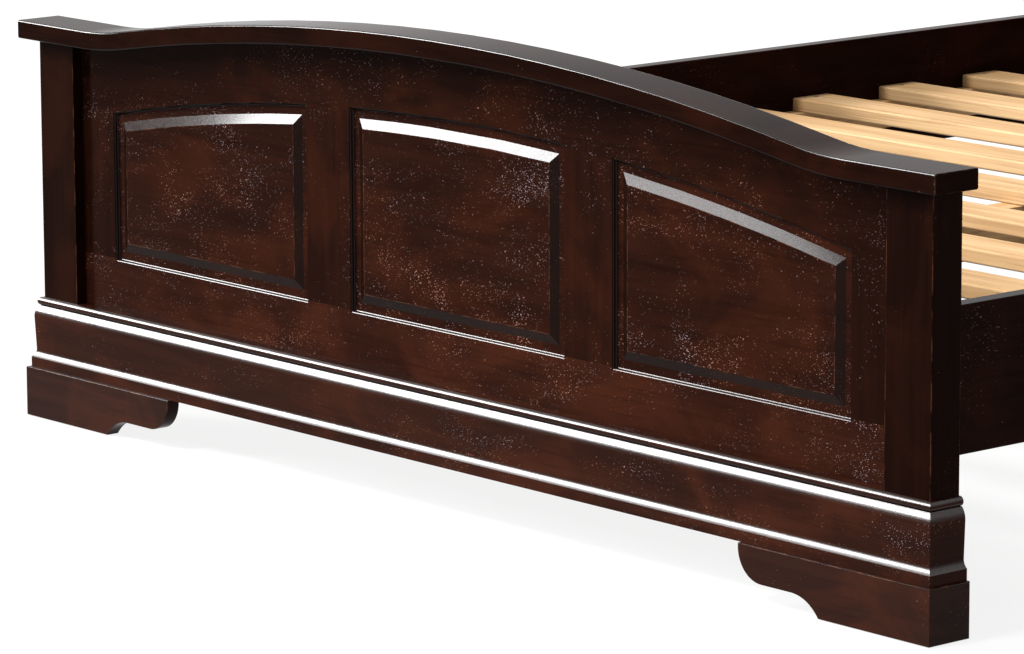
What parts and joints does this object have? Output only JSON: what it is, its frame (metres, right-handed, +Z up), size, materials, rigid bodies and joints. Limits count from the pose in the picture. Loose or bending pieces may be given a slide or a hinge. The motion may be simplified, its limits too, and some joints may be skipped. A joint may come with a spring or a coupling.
{
  "type": "panel bed",
  "caption": "Panel bed with a low arched footboard of raised panels on a moulded base with bracket feet, a taller matching headboard, side rails and slats.",
  "frame": {"origin": "on the floor under the middle of the bed's outline, seen from above", "axes": "+Z up, +Y along the bed from the footboard to the headboard, +X across it to the right of a viewer who faces the footboard"},
  "size_m": [1.65, 2.17, 1.218],
  "materials": {
    "stained_hardwood": "dark brown stain under satin lacquer",
    "unfinished_wood": "planed and sanded, no finish",
    "zinc_plated_steel": "zinc plated",
    "brass": "plain",
    "black_plastic": "moulded",
    "grey_plastic": "moulded"
  },
  "bodies": {
    "bed_frame": {"footboard_post_left": "stained_hardwood", "footboard_post_right": "stained_hardwood", "footboard_cap_rail": "stained_hardwood", "footboard_top_rail": "stained_hardwood", "footboard_bottom_rail": "stained_hardwood", "footboard_stile_left": "stained_hardwood", "footboard_stile_right": "stained_hardwood", "footboard_muntin_left": "stained_hardwood", "footboard_muntin_right": "stained_hardwood", "footboard_panel_left": "stained_hardwood", "footboard_panel_center": "stained_hardwood", "footboard_panel_right": "stained_hardwood", "footboard_cap_dowels": "unfinished_wood", "base_moulding_front": "stained_hardwood", "base_moulding_return_left": "stained_hardwood", "base_moulding_return_right": "stained_hardwood", "base_backing_board": "stained_hardwood", "bracket_foot_left": "stained_hardwood", "bracket_foot_right": "stained_hardwood", "foot_return_left": "stained_hardwood", "foot_return_right": "stained_hardwood", "foot_glue_blocks": "unfinished_wood", "headboard_post_left": "stained_hardwood", "headboard_post_right": "stained_hardwood", "headboard_cap_rail": "stained_hardwood", "headboard_top_rail": "stained_hardwood", "headboard_middle_rail": "stained_hardwood", "headboard_bottom_rail": "stained_hardwood", "headboard_stile_left": "stained_hardwood", "headboard_stile_right": "stained_hardwood", "headboard_muntin_left": "stained_hardwood", "headboard_muntin_right": "stained_hardwood", "headboard_panel_left": "stained_hardwood", "headboard_panel_center": "stained_hardwood", "headboard_panel_right": "stained_hardwood", "headboard_lower_panel": "stained_hardwood", "headboard_cap_dowels": "unfinished_wood", "side_rail_left": "stained_hardwood", "side_rail_right": "stained_hardwood", "slat_ledge_left": "unfinished_wood", "slat_ledge_right": "unfinished_wood", "rail_hook_plates": "zinc_plated_steel", "post_slot_plates": "zinc_plated_steel", "hook_plate_screws": "zinc_plated_steel", "slot_plate_screws": "zinc_plated_steel", "ledge_screws": "zinc_plated_steel", "slats": "unfinished_wood", "slat_screws": "zinc_plated_steel", "center_beam": "unfinished_wood", "beam_seat_blocks": "unfinished_wood", "center_legs": "unfinished_wood", "leg_bolts": "zinc_plated_steel", "leg_inserts": "brass", "post_glides": "grey_plastic"},
    "leveling_glide_front": {"leveling_glide_front": "black_plastic"},
    "leveling_glide_middle": {"leveling_glide_middle": "black_plastic"},
    "leveling_glide_rear": {"leveling_glide_rear": "black_plastic"}
  },
  "joints": [
    {"name": "glide_out_front", "type": "slide", "parent": "bed_frame", "child": "leveling_glide_front", "axis": [0, 0, -1], "range_m": [0, 0.012]},
    {"name": "glide_out_middle", "type": "slide", "parent": "bed_frame", "child": "leveling_glide_middle", "axis": [0, 0, -1], "range_m": [0, 0.012]},
    {"name": "glide_out_rear", "type": "slide", "parent": "bed_frame", "child": "leveling_glide_rear", "axis": [0, 0, -1], "range_m": [0, 0.012]}
  ]
}
